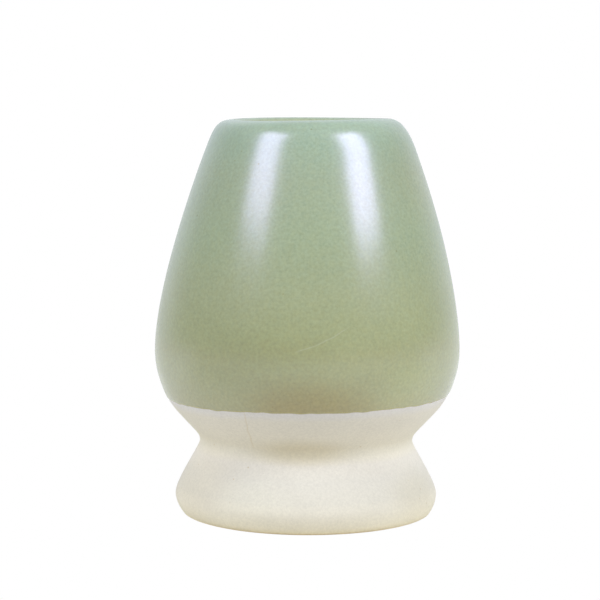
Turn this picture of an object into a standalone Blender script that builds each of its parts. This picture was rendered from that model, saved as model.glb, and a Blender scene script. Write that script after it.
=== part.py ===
"""Matcha whisk stand: a hollow stoneware casting and the celadon glaze coat fused over its upper part.

The stand is turned about +Z and rests on Z = 0. A bamboo whisk is pushed down over the bulb, its
inner tines go into the mouth, and the drain hole in the floor lets it dry from below.
"""

import math
from typing import NamedTuple

import bpy
from mathutils import Vector

MM = 0.001

# Driving dimensions.
HEIGHT = 73.0 * MM
BULB_RADIUS = 28.0 * MM
WAIST_RADIUS = 19.6 * MM
FOOT_RADIUS = 24.1 * MM
LIP_CREST_RADIUS = 14.3 * MM
MOUTH_RADIUS = 13.2 * MM
WALL = 4.2 * MM
FLOOR_TOP = 4.8 * MM
FOOT_RING_OUTER_RADIUS = 20.2 * MM
FOOT_RING_INNER_RADIUS = 16.4 * MM
FOOT_RECESS = 1.0 * MM
DRAIN_RADIUS = 6.0 * MM
DRAIN_ROUNDING = 0.8 * MM
GLAZE_LINE_HEIGHT = 22.8 * MM
GLAZE_THICKNESS = 0.45 * MM
GLAZE_GAP = 0.3 * MM

# Heights of the widest and narrowest places.
BULB_HEIGHT = 30.8 * MM
WAIST_HEIGHT = 13.7 * MM
FOOT_HEIGHT = 4.1 * MM

# How finely the turning is divided, and how far a facet may stray from the curve of an outline.
SEGMENTS = 40
FACET_TOLERANCE = 0.05 * MM

# Headings along an outline, in degrees from +X.
OUT, DOWN, IN, UP = 0.0, -90.0, -180.0, -270.0

# The handle length that makes a cubic curve a quarter circle, as a share of its radius.
QUARTER_CIRCLE_HANDLE = 0.55


class Knot(NamedTuple):
    """A place on an outline, with the heading there and the lengths of its two curve handles."""

    radius: float
    height: float
    heading: float
    handle_in: float = 0.0
    handle_out: float = 0.0

    def point(self):
        return Vector((self.radius, self.height))

    def along(self, length):
        angle = math.radians(self.heading)
        return Vector((math.cos(angle), math.sin(angle))) * length


# The outside, from the crest of the lip down to the ring it rests on.
OUTER_KNOTS = [
    Knot(LIP_CREST_RADIUS, HEIGHT, OUT, handle_out=2.8 * MM),
    # shoulder
    Knot(19.4 * MM, 67.0 * MM, -70.0, 4.7 * MM, 18.3 * MM),
    Knot(BULB_RADIUS, BULB_HEIGHT, DOWN, 6.0 * MM, 6.2 * MM),
    # underside of the bulb
    Knot(24.1 * MM, 19.8 * MM, -132.0, 0.9 * MM, 6.0 * MM),
    Knot(WAIST_RADIUS, WAIST_HEIGHT, DOWN, 1.7 * MM, 0.9 * MM),
    Knot(FOOT_RADIUS, FOOT_HEIGHT, DOWN, 2.1 * MM, 1.4 * MM),
    # lower edge of the foot, and the shallow slope from it to the foot ring
    Knot(22.8 * MM, 0.7 * MM, -129.0, 0.9 * MM, 0.3 * MM),
    Knot(FOOT_RING_OUTER_RADIUS, 0.0, IN, handle_in=0.8 * MM),
]

# The well, from the crest of the lip down to its floor, about one wall inside the outside.
INNER_KNOTS = [
    Knot(LIP_CREST_RADIUS, HEIGHT, IN, handle_out=0.7 * MM),
    Knot(MOUTH_RADIUS, HEIGHT - 1.8 * MM, DOWN, 0.9 * MM, 1.4 * MM),
    # shoulder
    Knot(15.2 * MM, 66.6 * MM, -69.0, 2.0 * MM, 13.0 * MM),
    Knot(BULB_RADIUS - WALL, BULB_HEIGHT, DOWN, 9.5 * MM, 3.2 * MM),
    # underside of the bulb
    Knot(21.2 * MM, 22.6 * MM, -130.0, 2.4 * MM, 4.0 * MM),
    Knot(WAIST_RADIUS - WALL, WAIST_HEIGHT, DOWN, 3.2 * MM, 2.4 * MM),
    # foot, above the fillet to the floor
    Knot(19.3 * MM, 7.6 * MM, DOWN, 1.8 * MM, 1.6 * MM),
    Knot(16.4 * MM, FLOOR_TOP, IN, handle_in=1.6 * MM),
]

# The underside, from the foot ring to the drain hole.
RECESS_EDGE_RADIUS = FOOT_RING_INNER_RADIUS - 1.4 * MM
UNDERSIDE_KNOTS = [
    Knot(FOOT_RING_INNER_RADIUS, 0.0, IN, handle_out=0.4 * MM),
    Knot(RECESS_EDGE_RADIUS, FOOT_RECESS, IN, handle_in=0.4 * MM),
]

# The drain hole, from the underside up to the floor of the well.
DRAIN_EDGE_RADIUS = DRAIN_RADIUS + DRAIN_ROUNDING
DRAIN_HANDLE = QUARTER_CIRCLE_HANDLE * DRAIN_ROUNDING
DRAIN_KNOTS = [
    Knot(DRAIN_EDGE_RADIUS, FOOT_RECESS, IN, handle_out=DRAIN_HANDLE),
    Knot(DRAIN_RADIUS, FOOT_RECESS + DRAIN_ROUNDING, UP, handle_in=DRAIN_HANDLE),
    Knot(DRAIN_RADIUS, FLOOR_TOP - DRAIN_ROUNDING, UP, handle_out=DRAIN_HANDLE),
    Knot(DRAIN_EDGE_RADIUS, FLOOR_TOP, OUT, handle_in=DRAIN_HANDLE),
]


def facets_between(corners):
    """How many facets keep a curve within the tolerance, if it turns as evenly as an arc."""
    legs = [end - start for start, end in zip(corners, corners[1:]) if end != start]
    turn = sum(leg.angle(after) for leg, after in zip(legs, legs[1:]))
    length = (corners[-1] - corners[0]).length
    return max(1, math.ceil(math.sqrt(length * turn / (8 * FACET_TOLERANCE))))


def outline(knots):
    """Points along the cubic curves that join the knots."""
    points = []
    for start, end in zip(knots, knots[1:]):
        a, d = start.point(), end.point()
        b = a + start.along(start.handle_out)
        c = d - end.along(end.handle_in)
        count = facets_between([a, b, c, d])
        for i in range(count):
            t = i / count
            s = 1 - t
            points.append(s**3 * a + 3 * s * s * t * b + 3 * s * t * t * c + t**3 * d)
    return points + [knots[-1].point()]


def cut_at_height(points, height):
    """Splits a falling outline in two at a height, with the crossing point in both halves."""
    for i, (above, below) in enumerate(zip(points, points[1:])):
        if above.y >= height > below.y:
            crossing = above.lerp(below, (above.y - height) / (above.y - below.y))
            return points[: i + 1] + [crossing], [crossing] + points[i + 1 :]
    raise ValueError("the outline doesn't cross that height")


def inset(points, depth):
    """The outline moved into the wall, which lies to its right as it is followed."""
    moved = []
    for i, point in enumerate(points):
        before = points[max(i - 1, 0)]
        after = points[min(i + 1, len(points) - 1)]
        along = (after - before).normalized()
        moved.append(point + Vector((along.y, -along.x)) * depth)
    return moved


def over_the_lip(lowest):
    """The finished surface from a height inside the well, up over the lip and down the outside."""
    inside, _ = cut_at_height(outline(INNER_KNOTS), lowest)
    outside, _ = cut_at_height(outline(OUTER_KNOTS), lowest)
    return inside[:0:-1] + outside


def body_loop():
    """The casting's closed section: bare outside, underside, drain, bare inside, then under the glaze."""
    _, bare_outside = cut_at_height(outline(OUTER_KNOTS), GLAZE_LINE_HEIGHT)
    _, bare_inside = cut_at_height(outline(INNER_KNOTS), GLAZE_LINE_HEIGHT)
    under_glaze = inset(over_the_lip(GLAZE_LINE_HEIGHT), GLAZE_THICKNESS + GLAZE_GAP)
    return bare_outside + outline(UNDERSIDE_KNOTS) + outline(DRAIN_KNOTS) + bare_inside[::-1] + under_glaze


def glaze_loop():
    """The coat's closed section: its finished surface, then the back of it."""
    surface = over_the_lip(GLAZE_LINE_HEIGHT + GLAZE_GAP)
    return surface + inset(surface, GLAZE_THICKNESS)[::-1]


def ceramic_material(name, colour, roughness):
    material = bpy.data.materials.new(name)
    material.use_nodes = True
    shader = material.node_tree.nodes["Principled BSDF"]
    shader.inputs["Base Color"].default_value = (*colour, 1.0)
    shader.inputs["Roughness"].default_value = roughness
    shader.inputs["Metallic"].default_value = 0.0
    return material


def turned_solid(name, loop, material, collection):
    """A closed section in the XZ plane, turned about +Z."""
    count = len(loop)
    mesh = bpy.data.meshes.new(name)
    edges = [(i, (i + 1) % count) for i in range(count)]
    mesh.from_pydata([(p.x, 0.0, p.y) for p in loop], edges, [])
    mesh.materials.append(material)
    solid = bpy.data.objects.new(name, mesh)
    collection.objects.link(solid)
    screw = solid.modifiers.new("Turning", "SCREW")
    screw.axis = "Z"
    screw.steps = SEGMENTS
    screw.render_steps = SEGMENTS
    screw.use_merge_vertices = True
    screw.merge_threshold = 0.01 * MM
    screw.use_smooth_shade = True
    return solid


def clear_scene():
    for obj in list(bpy.data.objects):
        bpy.data.objects.remove(obj, do_unlink=True)


def main():
    clear_scene()
    stand = bpy.data.collections.new("matcha_whisk_stand")
    bpy.context.scene.collection.children.link(stand)
    stoneware = ceramic_material("bare_stoneware", (0.80, 0.76, 0.66), 0.85)
    celadon = ceramic_material("celadon_glaze", (0.40, 0.47, 0.32), 0.25)
    turned_solid("stoneware_body", body_loop(), stoneware, stand)
    turned_solid("celadon_glaze", glaze_loop(), celadon, stand)


main()
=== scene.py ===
"""Looks for the matcha whisk stand: fine turned surfaces, celadon glaze over bare stoneware.

Everything is in metres in the frame's own axes: +Z up along the stand, which rests on Z = 0, and
-Y towards the camera. The fired clay and the glaze coat are each one closed surface, swept round
the axis from nearly the same outline as their CAD solids, with the small irregularities of a
hand-finished piece.
"""

import math

import bpy
import numpy as np
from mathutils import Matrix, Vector


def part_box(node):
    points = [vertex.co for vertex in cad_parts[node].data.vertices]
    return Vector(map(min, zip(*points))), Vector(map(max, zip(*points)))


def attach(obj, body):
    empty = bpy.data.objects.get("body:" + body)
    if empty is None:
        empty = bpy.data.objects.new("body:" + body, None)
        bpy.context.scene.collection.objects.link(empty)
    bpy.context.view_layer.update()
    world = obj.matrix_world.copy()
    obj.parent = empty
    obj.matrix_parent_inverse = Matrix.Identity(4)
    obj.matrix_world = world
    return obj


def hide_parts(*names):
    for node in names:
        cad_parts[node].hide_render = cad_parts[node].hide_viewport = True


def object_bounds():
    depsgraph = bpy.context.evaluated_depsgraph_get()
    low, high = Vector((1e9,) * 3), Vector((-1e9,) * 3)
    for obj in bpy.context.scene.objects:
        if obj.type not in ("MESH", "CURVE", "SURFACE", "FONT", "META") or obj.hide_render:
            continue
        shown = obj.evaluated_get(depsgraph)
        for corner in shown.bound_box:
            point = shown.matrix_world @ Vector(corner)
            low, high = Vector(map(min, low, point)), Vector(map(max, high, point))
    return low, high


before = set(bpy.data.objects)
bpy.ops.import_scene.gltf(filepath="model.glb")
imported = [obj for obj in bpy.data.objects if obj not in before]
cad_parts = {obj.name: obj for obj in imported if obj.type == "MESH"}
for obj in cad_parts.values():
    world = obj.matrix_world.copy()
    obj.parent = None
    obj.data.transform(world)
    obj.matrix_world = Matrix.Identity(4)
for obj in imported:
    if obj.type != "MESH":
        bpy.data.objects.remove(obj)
cad_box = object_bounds()

MM = 0.001

# Sizes read from the frame. The coat runs a little lower than its CAD solid, down to the bare clay.
GLAZE_DROP = 0.46 * MM
HEIGHT = cad_box[1].z
BULB_RADIUS = cad_box[1].x
GLAZE_LINE_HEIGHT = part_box("celadon_glaze")[0].z - GLAZE_DROP

# Outline sizes, as in the CAD.
LIP_CREST_RADIUS = 14.3 * MM
MOUTH_RADIUS = 13.2 * MM
WAIST_RADIUS, WAIST_HEIGHT = 19.6 * MM, 13.7 * MM
FOOT_RADIUS, FOOT_HEIGHT = 24.1 * MM, 4.1 * MM
BULB_HEIGHT = 30.8 * MM
WALL = 4.2 * MM
FLOOR_TOP = 4.8 * MM
FLOOR_EDGE_RADIUS = 16.4 * MM
FOOT_RING_OUTER_RADIUS = 20.2 * MM
FOOT_RING_INNER_RADIUS = 16.4 * MM
FOOT_RECESS = 1.0 * MM
RECESS_EDGE_RADIUS = FOOT_RING_INNER_RADIUS - 1.4 * MM
DRAIN_RADIUS = 6.0 * MM
DRAIN_ROUNDING = 0.8 * MM
DRAIN_EDGE_RADIUS = DRAIN_RADIUS + DRAIN_ROUNDING

# The glaze coat sinks slightly into the clay at its edge, and rises beside it in a low bead that
# fades out. Away from the edge the coat reaches its full thickness over the ramp.
GLAZE_THICKNESS = 0.45 * MM
GLAZE_SINK = 0.05 * MM
GLAZE_BEAD = 0.08 * MM
GLAZE_BEAD_WIDTH = 0.5 * MM
GLAZE_BEAD_FADE = 3.0 * MM
GLAZE_EDGE_RAMP = 1.5 * MM
# How far from the edge the first rows of points lie.
GLAZE_EDGE_ROWS = np.array([0.0, 0.02, 0.06, 0.12, 0.2, 0.3, 0.45, 0.65, 0.9, 1.2]) * MM
# The edge is highest at +X, with waves of (count round the stand, size, phase).
GLAZE_TILT = 0.46 * MM
GLAZE_WAVES = [
    (3, 0.06 * MM, 0.85),
    (7, 0.05 * MM, 1.9),
    (13, 0.03 * MM, 1.8),
    (29, 0.03 * MM, 0.4),
    (41, 0.035 * MM, 2.2),
    (59, 0.025 * MM, 5.1),
]

# Handwork: the bulb leans to +X, and the foot sits a little to -X.
BULB_LEAN = 0.38 * MM
FOOT_SHIFT = -0.15 * MM
# The rim isn't level. Its waves of (count round the stand, size, phase) fade out below it.
RIM_WAVES = [(1, 0.17 * MM, 1.83), (2, 0.08 * MM, 3.32)]
RIM_BLEND = 9.0 * MM
# Nothing is quite round: waves of (count round the stand, radians from foot to lip, size, phase).
UNEVENNESS = [(2, 3.0, 0.04 * MM, 0.3), (3, 7.0, 0.03 * MM, 1.9), (5, 13.0, 0.015 * MM, 4.4)]

# How finely the surfaces are divided: finer where they show than underneath and in the well.
TURN_STEPS = 320
OUTLINE_STEP = 0.45 * MM
HIDDEN_STEP = 1.0 * MM
CURVE_OVER_CHORD = 1.05
FEWEST_STEPS = 4
CURVE_SAMPLES = 201

# Headings along an outline, in degrees from +X.
OUT, DOWN, IN, UP = 0.0, -90.0, -180.0, -270.0
# The handle length that makes a cubic curve a quarter circle, as a share of its radius.
QUARTER_CIRCLE_HANDLE = 0.55
DRAIN_HANDLE = QUARTER_CIRCLE_HANDLE * DRAIN_ROUNDING

# Outlines are places of (radius, height, heading, handle in, handle out). The outside's upper part
# is tighter at -X and softer at +X.
TIGHT_SHOULDER = [
    (LIP_CREST_RADIUS, HEIGHT, OUT, 0.0, 2.9 * MM),
    (19.0 * MM, 68.0 * MM, -70.0, 3.7 * MM, 20.0 * MM),
]
SOFT_SHOULDER = [
    (LIP_CREST_RADIUS, HEIGHT, OUT, 0.0, 2.1 * MM),
    (19.3 * MM, 67.4 * MM, -69.5, 3.6 * MM, 18.3 * MM),
]
BELOW_SHOULDER = [
    (BULB_RADIUS, BULB_HEIGHT, DOWN, 6.0 * MM, 6.2 * MM),
    (24.1 * MM, 19.8 * MM, -132.0, 0.9 * MM, 6.0 * MM),
    (WAIST_RADIUS, WAIST_HEIGHT, DOWN, 1.7 * MM, 0.9 * MM),
    (FOOT_RADIUS, FOOT_HEIGHT, DOWN, 2.1 * MM, 1.4 * MM),
    (22.8 * MM, 0.7 * MM, -129.0, 0.9 * MM, 0.3 * MM),
    (FOOT_RING_OUTER_RADIUS, 0.0, IN, 0.8 * MM, 0.0),
]
WELL = [
    (LIP_CREST_RADIUS, HEIGHT, IN, 0.0, 0.7 * MM),
    (MOUTH_RADIUS, HEIGHT - 1.8 * MM, DOWN, 0.9 * MM, 1.4 * MM),
    (15.2 * MM, 66.6 * MM, -69.0, 2.0 * MM, 13.0 * MM),
    (BULB_RADIUS - WALL, BULB_HEIGHT, DOWN, 9.5 * MM, 3.2 * MM),
    (21.2 * MM, 22.6 * MM, -130.0, 2.4 * MM, 4.0 * MM),
    (WAIST_RADIUS - WALL, WAIST_HEIGHT, DOWN, 3.2 * MM, 2.4 * MM),
    (19.3 * MM, 7.6 * MM, DOWN, 1.8 * MM, 1.6 * MM),
    (FLOOR_EDGE_RADIUS, FLOOR_TOP, IN, 1.6 * MM, 0.0),
]
# From the foot ring through the drain hole to the edge of the well's floor.
UNDERSIDE = [
    (FOOT_RING_OUTER_RADIUS, 0.0, IN, 0.0, 0.5 * MM),
    (FOOT_RING_INNER_RADIUS, 0.0, IN, 0.5 * MM, 0.4 * MM),
    (RECESS_EDGE_RADIUS, FOOT_RECESS, IN, 0.4 * MM, 0.5 * MM),
    (DRAIN_EDGE_RADIUS, FOOT_RECESS, IN, 0.5 * MM, DRAIN_HANDLE),
    (DRAIN_RADIUS, FOOT_RECESS + DRAIN_ROUNDING, UP, DRAIN_HANDLE, 0.2 * MM),
    (DRAIN_RADIUS, FLOOR_TOP - DRAIN_ROUNDING, UP, 0.2 * MM, DRAIN_HANDLE),
    (DRAIN_EDGE_RADIUS, FLOOR_TOP, OUT, DRAIN_HANDLE, 0.5 * MM),
    (FLOOR_EDGE_RADIUS, FLOOR_TOP, OUT, 0.5 * MM, 0.0),
]

# Colours are linear light. The glaze's run from its lower edge up to the lip, and clouds in it move
# them up and down by up to half the drift. Over the bulb's underside the stops are darker with
# painted shade, on top of the glaze's own turn from olive to green.
GLAZE_COLOURS_AND_SHADE = [
    (0.0, (0.46, 0.46, 0.22)),
    (0.06, (0.43, 0.45, 0.22)),
    (0.14, (0.40, 0.43, 0.20)),
    (0.2, (0.395, 0.42, 0.20)),
    (0.26, (0.395, 0.435, 0.22)),
    (0.4, (0.403, 0.458, 0.258)),
    (0.6, (0.387, 0.475, 0.295)),
    (0.8, (0.392, 0.483, 0.325)),
    (0.92, (0.38, 0.50, 0.36)),
    (1.0, (0.42, 0.55, 0.42)),
]
CLOUD_SIZE = 14 * MM
CLOUD_DETAIL = 3.0
CLOUD_DRIFT = 6 * MM
# The line along the glaze's edge, and the distances in mm over which it fades.
GLAZE_EDGE_COLOUR = (0.50, 0.45, 0.16)
GLAZE_EDGE_STRENGTH = 0.8
GLAZE_EDGE_FADE = (0.1, 0.5)
# The well's tint comes in over this much travel inwards from the crest of the lip.
GLAZE_INSIDE_TINT = (1.20, 1.06, 0.88)
WELL_BLEND = 0.5 * MM
# The clay's colours run from the base up to the glaze, and turn to another just below it, over
# distances from the glaze's edge in mm that are negative on bare clay. The ramp holds a golden line
# of painted contact shade at the very base, painted light from below over the lowest part of the
# foot, and painted shade in the waist crease.
CLAY_COLOURS_LIGHT_AND_SHADE = [
    (0.0, (0.90, 0.68, 0.33)),
    (0.02, (0.90, 0.74, 0.45)),
    (0.035, (0.90, 0.82, 0.60)),
    (0.07, (0.90, 0.84, 0.67)),
    (0.18, (0.85, 0.81, 0.70)),
    (0.27, (0.78, 0.755, 0.68)),
    (0.42, (0.78, 0.758, 0.70)),
    (0.54, (0.82, 0.79, 0.73)),
    (0.62, (0.84, 0.80, 0.68)),
    (0.68, (0.83, 0.78, 0.64)),
    (0.78, (0.85, 0.80, 0.67)),
    (1.0, (0.83, 0.79, 0.69)),
]
CLAY_NEAR_GLAZE_COLOUR = (0.81, 0.78, 0.735)
CLAY_NEAR_GLAZE = (-2.2, -0.1)

# Softly bounded places where a colour changes: (centre, half-widths, what multiplies the colour).
# Several are painted light and painted shade, as noted beside each.
GLAZE_PATCHES = [
    # painted shade at the front, by the lower edge, darker and more olive
    ((0.5 * MM, -25 * MM, 23.5 * MM), (15 * MM, 14 * MM, 7.5 * MM), (0.96, 0.84, 0.65)),
    # the right shoulder, warmer
    ((18 * MM, -6 * MM, 63 * MM), (12 * MM, 14 * MM, 16 * MM), (1.0, 0.95, 0.88)),
    # painted shade low on the left, a little darker, and painted light low on the right, paler
    ((-9 * MM, -25 * MM, 32 * MM), (13 * MM, 12 * MM, 8 * MM), (0.955, 0.955, 0.93)),
    ((17 * MM, -18 * MM, 25.5 * MM), (13 * MM, 12 * MM, 9 * MM), (1.06, 1.08, 1.06)),
    # painted light right of the centre, a little paler
    ((14 * MM, -22 * MM, 34 * MM), (18 * MM, 14 * MM, 17 * MM), (1.055, 1.055, 1.055)),
]
CLAY_PATCHES = [
    # painted shade in the waist crease, at the front
    ((-1 * MM, -20 * MM, 14.6 * MM), (12 * MM, 12 * MM, 3.4 * MM), (0.92, 0.89, 0.81)),
    # painted light on the foot's left, paler, and its right, warmer
    ((-20 * MM, -10 * MM, 8 * MM), (13 * MM, 16 * MM, 9 * MM), (1.06, 1.04, 0.99)),
    ((-11 * MM, -22 * MM, 6 * MM), (12 * MM, 9 * MM, 6 * MM), (1.06, 1.065, 1.05)),
    ((20 * MM, -12 * MM, 6 * MM), (9 * MM, 14 * MM, 6 * MM), (0.96, 0.95, 0.91)),
]
# Lighter and darker places: (amount, noise size, detail, roughness).
GLAZE_TONES = [(0.05, 9 * MM, 2.0, 0.5), (0.22, 0.5 * MM, 2.0, 0.6)]
CLAY_TONES = [(0.04, 6 * MM, 3.0, 0.5), (0.14, 0.45 * MM, 3.0, 0.7)]
# Warm and cool mottling of the glaze, over the middle range of its noise.
MOTTLE_SIZE = 0.9 * MM
MOTTLE_RANGE = (0.35, 0.65)
WARM_MOTTLE = (1.014, 1.0, 0.978)
COOL_MOTTLE = (0.986, 1.0, 1.022)
# Specks: (spacing, radius, share of the places that have one).
GLAZE_SPECKS = (3 * MM, 0.26 * MM, 0.5)
CLAY_SPECKS = (1.8 * MM, 0.2 * MM, 0.35)
SPECK_TINT = (0.86, 0.79, 0.67)
# Fine lines on the front: (from, to, bow, half-width). The places are (x, z). The seam's depth is a
# share of the grain's.
HAIRLINE = ((-2.6 * MM, 33.3 * MM), (7.4 * MM, 38.0 * MM), -0.5 * MM, 0.16 * MM)
HAIRLINE_COLOUR = (0.62, 0.66, 0.48)
HAIRLINE_STRENGTH = 0.25
SEAM = ((-11.1 * MM, 23.2 * MM), (-9.3 * MM, 14.6 * MM), -0.2 * MM, 0.2 * MM)
SEAM_TINT = (0.95, 0.92, 0.86)
SEAM_DEPTH = 0.5

# Grain: (noise size, detail, roughness), and the relief that it gives: (strength, depth).
GLAZE_GRAIN, GLAZE_RELIEF = (0.6 * MM, 3.0, 0.6), (0.2, 0.05 * MM)
CLAY_GRAIN, CLAY_RELIEF = (0.35 * MM, 4.0, 0.7), (0.35, 0.1 * MM)
# The glaze's roughness follows its grain's middle range. Its reflections are cool.
GLAZE_GRAIN_RANGE, GLAZE_ROUGHNESS = (0.3, 0.7), (0.21, 0.27)
GLAZE_SHEEN = (0.67, 0.62, 0.97)
GLAZE_IOR = 1.65
GLAZE_SPECULAR = 1.0
CLAY_ROUGHNESS = 0.9
CLAY_SPECULAR = 0.25

# The share of a patch, a speck and a fine line, from its middle out, that is at full strength.
SPOT_CORE, SPECK_CORE, LINE_CORE = 0.2, 0.4, 0.2
# A fine line wobbles by up to half this many half-widths, and fades in the last part of each half.
LINE_WOBBLE, LINE_WOBBLE_SIZE = 3, 2 * MM
LINE_FADE_FROM = 0.7

# The stage. Behind the stand the white floor glows like a light table. The glow comes up between
# two places on Y.
FLOOR_SIZE = 3.0
FLOOR_COLOUR = (0.75, 0.75, 0.75)
FLOOR_ROUGHNESS = 0.9
FLOOR_GLOW, FLOOR_GLOW_COLOUR = 0.48, (0.84, 0.92, 1.0)
FLOOR_GLOW_FROM, FLOOR_GLOW_TO = -0.04, 0.04
# The room's light turns from front to back over this range of a direction's Y.
ROOM_FRONT = (0.30, 0.30, 0.30)
ROOM_BACK = (0.84, 0.88, 0.95)
ROOM_TURN = (0.2, 0.95)
WHITE = (1.0, 1.0, 1.0)
# Angles are in degrees and powers in watts. Azimuth is to the right of the camera.
LIGHT_DISTANCE = 0.9
LEFT_SOFTBOX = {"azimuth": -53.5, "elevation": 41.0, "width": 0.37, "height": 0.465, "power": 3.35}
RIGHT_SOFTBOX = {"azimuth": 55.5, "elevation": 39.4, "width": 0.37, "height": 0.50, "power": 4.45}
CAMERA_DISTANCE = 424.3 * MM
CAMERA_HEIGHT = 82.4 * MM
CAMERA_PITCH = 5.74
CAMERA_YAW = 0.22
CAMERA_ROLL = -0.3
# In mm, as Blender takes them.
CAMERA_LENS = 139.0
CAMERA_SENSOR = 36.0


# ---------------------------------------------------------------- outlines


def handle(degrees, length):
    angle = math.radians(degrees)
    return np.array([math.cos(angle), math.sin(angle)]) * length


def stretch_counts(knots, step):
    """How many steps of about one length lie between each knot and the next."""
    gaps = [math.dist(start[:2], end[:2]) for start, end in zip(knots, knots[1:])]
    return [max(FEWEST_STEPS, round(CURVE_OVER_CHORD * gap / step)) for gap in gaps]


def travelled(points):
    """The distance along a chain of points to each of them."""
    return np.concatenate([[0], np.cumsum(np.linalg.norm(np.diff(points, axis=0), axis=1))])


def read_along(places, travel, pairs):
    """Pairs of values that are known at some travels, read at other places."""
    return np.stack([np.interp(places, travel, column) for column in pairs.T], axis=1)


def outline(knots, counts):
    """Points along the cubic curves that join the knots, even along each curve."""
    stretches = []
    for start, end, count in zip(knots, knots[1:], counts):
        a, d = np.array(start[:2]), np.array(end[:2])
        b, c = a + handle(start[2], start[4]), d - handle(end[2], end[3])
        t = np.linspace(0, 1, CURVE_SAMPLES)[:, None]
        s = 1 - t
        curve = s**3 * a + 3 * s * s * t * b + 3 * s * t * t * c + t**3 * d
        along = travelled(curve)
        places = np.linspace(0, along[-1], count, endpoint=False)
        stretches.append(read_along(places, along, curve))
    return np.concatenate(stretches)


def smooth(low, high, value):
    t = np.clip((value - low) / (high - low), 0, 1)
    return t * t * (3 - 2 * t)


def finished_section(shoulder):
    """The closed outline of the finished surface: crest, outside, underside, drain, well, crest."""
    outside = shoulder + BELOW_SHOULDER
    # Both shoulders have the same number of rows, so that one can blend into the other.
    down = outline(outside, stretch_counts(TIGHT_SHOULDER + BELOW_SHOULDER, OUTLINE_STEP))
    under = outline(UNDERSIDE, stretch_counts(UNDERSIDE, HIDDEN_STEP))
    well = outline(WELL, stretch_counts(WELL, HIDDEN_STEP))
    crest, floor_edge = np.array([outside[0][:2]]), np.array([WELL[-1][:2]])
    return np.concatenate([down, under, floor_edge, well[:0:-1], crest])


# ---------------------------------------------------------------- surfaces


class FinishedSurface:
    """The stand's finished surface at every azimuth, by the travel along its outline from the crest."""

    def __init__(self):
        tight, soft = finished_section(TIGHT_SHOULDER), finished_section(SOFT_SHOULDER)
        self.azimuth = np.linspace(0, 2 * math.pi, TURN_STEPS, endpoint=False)
        share = ((1 + np.cos(self.azimuth)) / 2)[:, None, None]
        self.points = tight * (1 - share) + soft * share
        self.travel = travelled((tight + soft) / 2)
        self.length = self.travel[-1]
        self.normals = self.outward()
        rise = glaze_line(self.azimuth)
        self.outer_line = np.array([self.crossing(i, rise[i], 1) for i in range(TURN_STEPS)])
        self.inner_line = np.array([self.crossing(i, rise[i], -1) for i in range(TURN_STEPS)])

    def outward(self):
        """The direction out of the surface at every point. The outline closes on its first point."""
        direction = np.gradient(self.points[:, :-1], axis=1)
        direction[:, 0] = self.points[:, 1] - self.points[:, -2]
        direction = np.concatenate([direction, direction[:, :1]], axis=1)
        direction /= np.linalg.norm(direction, axis=2, keepdims=True)
        return np.stack([-direction[..., 1], direction[..., 0]], axis=2)

    def crossing(self, i, height, side):
        """The travel at which the outside (side 1) or the well (side -1) first falls to a height."""
        _, z = self.points[i].T[:, ::side]
        travel = self.travel if side == 1 else self.travel[::-1] - self.length
        below = int(np.argmax(z < height))
        share = (z[below - 1] - height) / (z[below - 1] - z[below])
        return travel[below - 1] + share * (travel[below] - travel[below - 1])

    def at(self, travel, lift):
        """World points at a travel and a lift off the surface, both by azimuth and row."""
        section = []
        for i in range(TURN_STEPS):
            places = np.mod(travel[i], self.length)
            points = read_along(places, self.travel, self.points[i])
            normals = read_along(places, self.travel, self.normals[i])
            section.append(points + normals * lift[i][:, None])
        return turned(np.array(section), self.azimuth)


def glaze_line(azimuth):
    """The height of the glaze coat's lower edge: tilted a little, with small uneven waves."""
    waves = sum(size * np.sin(count * azimuth + phase) for count, size, phase in GLAZE_WAVES)
    return GLAZE_LINE_HEIGHT + GLAZE_TILT * np.cos(azimuth) + waves


def turned(section, azimuth):
    """A section's points swung to their azimuths, with the stand's slight lean and unevenness."""
    radius, z = section[..., 0], section[..., 1]
    angle = azimuth[:, None]
    for count, climb, size, phase in UNEVENNESS:
        radius = radius + size * np.sin(count * angle + climb * z / HEIGHT + phase)
    lean = BULB_LEAN * (z - BULB_HEIGHT) * (z > BULB_HEIGHT) / (HEIGHT - BULB_HEIGHT)
    shift = FOOT_SHIFT * smooth(0, FOOT_HEIGHT, z) * (1 - smooth(WAIST_HEIGHT, BULB_HEIGHT, z))
    x = radius * np.cos(angle) + lean + shift
    rise = sum(size * np.sin(count * angle + phase) for count, size, phase in RIM_WAVES)
    z = z + rise * smooth(HEIGHT - RIM_BLEND, HEIGHT, z)
    return np.stack([x, radius * np.sin(angle), z], axis=2)


def ring_mesh(name, points, **attributes):
    """A closed surface from points by azimuth and row, both of which run full circle, shaded smooth."""
    turns, rows = points.shape[:2]
    index = np.arange(turns * rows).reshape(turns, rows)
    after, below = np.roll(index, -1, axis=0), np.roll(index, -1, axis=1)
    diagonal = np.roll(after, -1, axis=1)
    faces = np.stack([index, below, diagonal, after], axis=2).reshape(-1, 4)
    mesh = bpy.data.meshes.new(name)
    mesh.from_pydata(points.reshape(-1, 3).tolist(), [], faces.tolist())
    mesh.shade_smooth()
    for attribute, values in attributes.items():
        stored = mesh.attributes.new(attribute, "FLOAT", "POINT")
        stored.data.foreach_set("value", values.ravel())
    piece = bpy.data.objects.new(name, mesh)
    bpy.context.scene.collection.objects.link(piece)
    return piece


def clay_piece(surface):
    """The fired casting, lower under the glaze so that the coat lies nearly flush with bare clay."""
    travel = np.tile(surface.travel[:-1], (TURN_STEPS, 1))
    outer = surface.outer_line[:, None] - travel
    inner = travel - surface.length - surface.inner_line[:, None]
    covered = np.maximum(outer, inner)
    depth = GLAZE_THICKNESS * smooth(0, GLAZE_EDGE_RAMP, covered)
    return ring_mesh("fired_stoneware", surface.at(travel, -depth), edge_distance=covered / MM)


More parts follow.
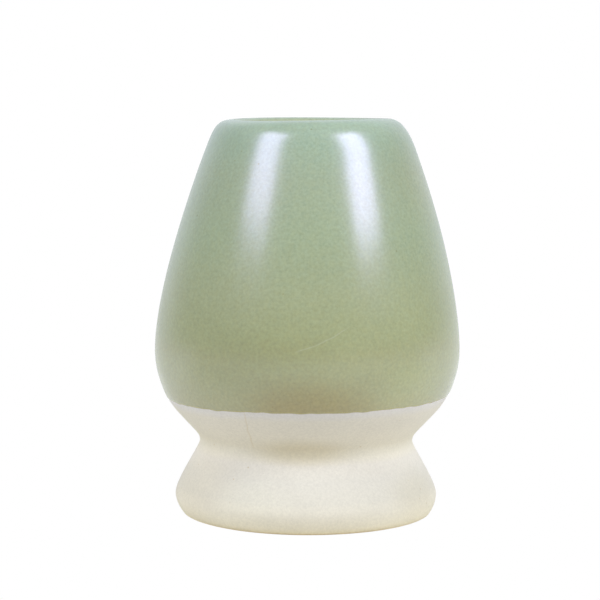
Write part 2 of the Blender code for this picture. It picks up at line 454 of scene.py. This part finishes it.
def glaze_piece(surface):
    """The glaze coat: its front from the well's edge over the lip to the outer edge, then its back."""
    near_edge, last_row = GLAZE_EDGE_ROWS, GLAZE_EDGE_ROWS[-1]
    rows = round(surface.outer_line.mean() / OUTLINE_STEP)
    well_rows = round(-surface.inner_line.mean() / HIDDEN_STEP)
    travel = []
    for outer, inner in zip(surface.outer_line, surface.inner_line):
        well = np.linspace(inner + last_row, 0, well_rows, endpoint=False)
        outside = np.linspace(0, outer - last_row, rows, endpoint=False)
        travel.append(np.concatenate([inner + near_edge[:-1], well, outside, outer - near_edge[::-1]]))
    travel = np.array(travel)
    covered = np.minimum(surface.outer_line[:, None] - travel, travel - surface.inner_line[:, None])
    rise = np.sqrt(1 - (1 - np.clip(covered / GLAZE_BEAD_WIDTH, 0, 1)) ** 2)
    bead = GLAZE_BEAD * (1 - smooth(GLAZE_BEAD_WIDTH, GLAZE_BEAD_FADE, covered))
    front = rise * (bead + GLAZE_SINK) - GLAZE_SINK
    back = -GLAZE_SINK - (GLAZE_THICKNESS * smooth(0, GLAZE_EDGE_RAMP, covered))
    # The back runs the other way, with half as many rows.
    travel_round = np.concatenate([travel, travel[:, -2:0:-2]], axis=1)
    lift = np.concatenate([front, back[:, -2:0:-2]], axis=1)
    distance = np.concatenate([covered, covered[:, -2:0:-2]], axis=1)
    inside = 1 - smooth(-WELL_BLEND, 0, travel_round)
    points = surface.at(travel_round, lift)
    return ring_mesh("celadon_coat", points, edge_distance=distance / MM, inside=inside)


# ---------------------------------------------------------------- materials


class Nodes:
    """The nodes of a material or the world. add() makes a node, and links or sets its inputs."""

    def __init__(self, owner, coordinates="Object"):
        owner.use_nodes = True
        self.owner = owner
        self.tree = owner.node_tree
        self.place = self.add("ShaderNodeTexCoord").outputs[coordinates]

    def add(self, kind, inputs=(), **settings):
        node = self.tree.nodes.new(kind)
        for key, value in settings.items():
            setattr(node, key, value)
        for key, value in dict(inputs).items():
            self.feed(node.inputs[key], value)
        return node

    def feed(self, socket, value):
        if isinstance(value, bpy.types.NodeSocket):
            self.tree.links.new(value, socket)
        elif socket.type == "RGBA":
            socket.default_value = (*value, 1.0)
        else:
            socket.default_value = value

    def set(self, node, **inputs):
        """Links or sets the inputs of a node that the tree began with."""
        for key, value in inputs.items():
            self.feed(self.tree.nodes[node].inputs[key.replace("_", " ")], value)

    def attribute(self, name):
        return self.add("ShaderNodeAttribute", attribute_name=name).outputs["Fac"]

    def along(self, axis):
        return self.add("ShaderNodeSeparateXYZ", {0: self.place}).outputs[axis]

    def math(self, operation, a, b=0.0):
        return self.add("ShaderNodeMath", {0: a, 1: b}, operation=operation).outputs[0]

    def vector(self, operation, a, b, output="Vector"):
        return self.add("ShaderNodeVectorMath", {0: a, 1: b}, operation=operation).outputs[output]

    def remap(self, value, low, high, to_low=0.0, to_high=1.0, kind="SMOOTHSTEP"):
        inputs = {"Value": value, "From Min": low, "From Max": high, "To Min": to_low, "To Max": to_high}
        return self.add("ShaderNodeMapRange", inputs, interpolation_type=kind).outputs["Result"]

    def noise(self, size, detail=2.0, roughness=0.5):
        """Noise whose features are about one size in metres across, centred on 0.5."""
        inputs = {"Vector": self.place, "Scale": 1 / size, "Detail": detail, "Roughness": roughness}
        return self.add("ShaderNodeTexNoise", inputs).outputs["Fac"]

    def mix(self, factor, a, b, blend="MIX"):
        node = self.add("ShaderNodeMix", data_type="RGBA", blend_type=blend)
        for key, value in (("Factor_Float", factor), ("A_Color", a), ("B_Color", b)):
            self.feed(next(s for s in node.inputs if s.identifier == key), value)
        return next(s for s in node.outputs if s.identifier == "Result_Color")

    def tinted(self, colour, tint, share=1.0):
        """A colour multiplied by a tint, by a share from 0 to 1."""
        return self.mix(share, colour, tint, blend="MULTIPLY")

    def ramp(self, value, stops):
        """A colour ramp from (position, colour) stops."""
        node = self.add("ShaderNodeValToRGB", {"Fac": value})
        elements = node.color_ramp.elements
        while len(elements) < len(stops):
            elements.new(0.5)
        for element, (position, colour) in zip(elements, stops):
            element.position = position
            element.color = (*colour, 1.0)
        return node.outputs["Color"]

    def spot(self, centre, half_widths):
        """1 in the middle of a place on the object, and fading smoothly to 0 at its half-widths."""
        offset = self.vector("SUBTRACT", self.place, centre)
        share = self.vector("MULTIPLY", offset, [1 / half_width for half_width in half_widths])
        reach = self.add("ShaderNodeVectorMath", {0: share}, operation="LENGTH").outputs["Value"]
        return self.remap(reach, SPOT_CORE, 1.0, 1.0, 0.0)

    def stroke(self, start, end, bow, half_width):
        """1 along a fine bowed line on the front of the stand between two (x, z) places, 0 off it."""
        length = math.dist(start, end)
        right, up = (end[0] - start[0]) / length, (end[1] - start[1]) / length
        offset = self.vector("SUBTRACT", self.place, (start[0], 0, start[1]))
        along = self.vector("DOT_PRODUCT", offset, (right / length, 0, up / length), "Value")
        across = self.vector("DOT_PRODUCT", offset, (-up, 0, right), "Value")
        from_middle = self.math("SUBTRACT", self.math("MULTIPLY", along, 2.0), 1.0)
        bulge = self.math("SUBTRACT", 1.0, self.math("POWER", from_middle, 2.0))
        bowed = self.math("MULTIPLY", bulge, bow)
        stray = self.math("SUBTRACT", self.noise(LINE_WOBBLE_SIZE), 0.5)
        wobble = self.math("MULTIPLY", stray, LINE_WOBBLE * half_width)
        off_line = self.math("SUBTRACT", self.math("SUBTRACT", across, bowed), wobble)
        away = self.math("ABSOLUTE", off_line)
        line = self.remap(away, LINE_CORE * half_width, half_width, 1.0, 0.0)
        ends = self.remap(self.math("ABSOLUTE", from_middle), LINE_FADE_FROM, 1.0, 1.0, 0.0)
        in_front = self.math("LESS_THAN", self.along("Y"), 0.0)
        return self.math("MULTIPLY", self.math("MULTIPLY", line, ends), in_front)

    def specks(self, spacing, radius, share):
        """1 in scattered small specks, 0 between them. The share says how many places have one."""
        cells = self.add("ShaderNodeTexVoronoi", {"Vector": self.place, "Scale": 1 / spacing})
        reach = radius / spacing
        dot = self.remap(cells.outputs["Distance"], SPECK_CORE * reach, reach, 1.0, 0.0)
        chosen = self.math("LESS_THAN", cells.outputs["Color"], share)
        return self.math("MULTIPLY", dot, chosen)

    def tone(self, colour, amount, value):
        """A colour made lighter and darker by up to an amount as a value goes from 0 to 1."""
        gain = self.remap(value, 0.0, 1.0, 1 - amount, 1 + amount, kind="LINEAR")
        return self.add("ShaderNodeVectorMath", {0: colour, "Scale": gain}, operation="SCALE").outputs[0]

    def relief(self, height, strength, depth):
        inputs = {"Height": height, "Strength": strength, "Distance": depth}
        return self.add("ShaderNodeBump", inputs).outputs["Normal"]


def glaze_material():
    glaze = Nodes(bpy.data.materials.new("celadon"))
    cloud = glaze.math("SUBTRACT", glaze.noise(CLOUD_SIZE, CLOUD_DETAIL), 0.5)
    height = glaze.math("ADD", glaze.along("Z"), glaze.math("MULTIPLY", cloud, CLOUD_DRIFT))
    share = glaze.remap(height, GLAZE_LINE_HEIGHT, HEIGHT, kind="LINEAR")
    # The ramp holds painted shade over the underside of the bulb.
    colour = glaze.ramp(share, GLAZE_COLOURS_AND_SHADE)
    # Some patches are painted shade on the left and painted light on the right.
    for centre, half_widths, tint in GLAZE_PATCHES:
        colour = glaze.tinted(colour, tint, glaze.spot(centre, half_widths))
    colour = glaze.tinted(colour, GLAZE_INSIDE_TINT, glaze.attribute("inside"))
    distance = glaze.attribute("edge_distance")
    at_edge = glaze.remap(distance, *GLAZE_EDGE_FADE, GLAZE_EDGE_STRENGTH, 0.0)
    colour = glaze.mix(at_edge, colour, GLAZE_EDGE_COLOUR)
    for amount, *noise in GLAZE_TONES:
        colour = glaze.tone(colour, amount, glaze.noise(*noise))
    mottle = glaze.remap(glaze.noise(MOTTLE_SIZE), *MOTTLE_RANGE, kind="LINEAR")
    colour = glaze.tinted(colour, glaze.mix(mottle, WARM_MOTTLE, COOL_MOTTLE))
    colour = glaze.tinted(colour, SPECK_TINT, glaze.specks(*GLAZE_SPECKS))
    hairline = glaze.math("MULTIPLY", glaze.stroke(*HAIRLINE), HAIRLINE_STRENGTH)
    colour = glaze.mix(hairline, colour, HAIRLINE_COLOUR)
    grain = glaze.noise(*GLAZE_GRAIN)
    roughness = glaze.remap(grain, *GLAZE_GRAIN_RANGE, *GLAZE_ROUGHNESS)
    normal = glaze.relief(grain, *GLAZE_RELIEF)
    glaze.set("Principled BSDF", Base_Color=colour, Roughness=roughness, Normal=normal)
    glaze.set("Principled BSDF", IOR=GLAZE_IOR, Specular_IOR_Level=GLAZE_SPECULAR)
    glaze.set("Principled BSDF", Specular_Tint=GLAZE_SHEEN)
    return glaze.owner


def clay_material():
    clay = Nodes(bpy.data.materials.new("stoneware"))
    share = clay.remap(clay.along("Z"), 0.0, GLAZE_LINE_HEIGHT, kind="LINEAR")
    # The ramp holds painted contact shade, painted light low on the foot and painted shade in the waist.
    colour = clay.ramp(share, CLAY_COLOURS_LIGHT_AND_SHADE)
    # The patches add painted shade in the waist and painted light on the foot's left.
    for centre, half_widths, tint in CLAY_PATCHES:
        colour = clay.tinted(colour, tint, clay.spot(centre, half_widths))
    near_glaze = clay.remap(clay.attribute("edge_distance"), *CLAY_NEAR_GLAZE)
    colour = clay.mix(near_glaze, colour, CLAY_NEAR_GLAZE_COLOUR)
    for amount, *noise in CLAY_TONES:
        colour = clay.tone(colour, amount, clay.noise(*noise))
    colour = clay.tinted(colour, SPECK_TINT, clay.specks(*CLAY_SPECKS))
    seam = clay.stroke(*SEAM)
    colour = clay.tinted(colour, SEAM_TINT, seam)
    surface = clay.math("SUBTRACT", clay.noise(*CLAY_GRAIN), clay.math("MULTIPLY", seam, SEAM_DEPTH))
    normal = clay.relief(surface, *CLAY_RELIEF)
    clay.set("Principled BSDF", Base_Color=colour, Roughness=CLAY_ROUGHNESS, Normal=normal)
    clay.set("Principled BSDF", Specular_IOR_Level=CLAY_SPECULAR)
    return clay.owner


# ---------------------------------------------------------------- stage


def floor():
    """A floor that lights the stand from below and behind, and that the camera sees as plain white."""
    bpy.ops.mesh.primitive_plane_add(size=FLOOR_SIZE)
    plane = bpy.context.object
    plane.name = "floor"
    white = Nodes(bpy.data.materials.new("white_floor"))
    glow = white.remap(white.along("Y"), FLOOR_GLOW_FROM, FLOOR_GLOW_TO, 0.0, FLOOR_GLOW)
    white.set("Principled BSDF", Base_Color=FLOOR_COLOUR, Roughness=FLOOR_ROUGHNESS)
    white.set("Principled BSDF", Emission_Color=FLOOR_GLOW_COLOUR, Emission_Strength=glow)
    seen = white.add("ShaderNodeLightPath").outputs["Is Camera Ray"]
    lit = white.tree.nodes["Principled BSDF"].outputs[0]
    plain = white.add("ShaderNodeEmission", {"Color": WHITE}).outputs[0]
    surface = white.add("ShaderNodeMixShader", {0: seen, 1: lit, 2: plain}).outputs[0]
    white.set("Material Output", Surface=surface)
    plane.data.materials.append(white.owner)


def sky():
    """A white room, brighter and cooler behind the stand, that the camera sees as plain white."""
    world = bpy.data.worlds.new("white_room")
    bpy.context.scene.world = world
    room = Nodes(world, "Generated")
    light = room.mix(room.remap(room.along("Y"), *ROOM_TURN), ROOM_FRONT, ROOM_BACK)
    seen = room.add("ShaderNodeLightPath").outputs["Is Camera Ray"]
    room.set("Background", Color=room.mix(seen, light, WHITE))


def softbox(name, azimuth, elevation, width, height, power):
    """A rectangular light that faces the middle of the stand."""
    light = bpy.data.lights.new(name, "AREA")
    light.shape = "RECTANGLE"
    light.size, light.size_y = width, height
    light.energy = power
    lamp = bpy.data.objects.new(name, light)
    a, e = math.radians(azimuth), math.radians(elevation)
    away = Vector((math.sin(a) * math.cos(e), -math.cos(a) * math.cos(e), math.sin(e)))
    lamp.location = Vector((0, 0, HEIGHT / 2)) + away * LIGHT_DISTANCE
    lamp.rotation_euler = away.to_track_quat("Z", "Y").to_euler()
    bpy.context.scene.collection.objects.link(lamp)


def camera():
    data = bpy.data.cameras.new("camera")
    data.sensor_width = CAMERA_SENSOR
    data.lens = CAMERA_LENS
    eye = bpy.data.objects.new("camera", data)
    eye.location = (0, -CAMERA_DISTANCE, CAMERA_HEIGHT)
    eye.rotation_euler = [math.radians(a) for a in (90 - CAMERA_PITCH, CAMERA_ROLL, CAMERA_YAW)]
    bpy.context.scene.collection.objects.link(eye)
    bpy.context.scene.camera = eye


def main():
    surface = FinishedSurface()
    clay, glaze = clay_piece(surface), glaze_piece(surface)
    clay.data.materials.append(clay_material())
    glaze.data.materials.append(glaze_material())
    pieces = [
        (clay, "stoneware_body", "bare_stoneware"),
        (glaze, "celadon_glaze", "celadon_glaze"),
    ]
    for piece, node, slot in pieces:
        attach(piece, "root")
        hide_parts(node)
    floor()
    sky()
    softbox("left_softbox", **LEFT_SOFTBOX)
    softbox("right_softbox", **RIGHT_SOFTBOX)
    camera()
    bpy.context.scene.view_settings.view_transform = "Standard"


main()
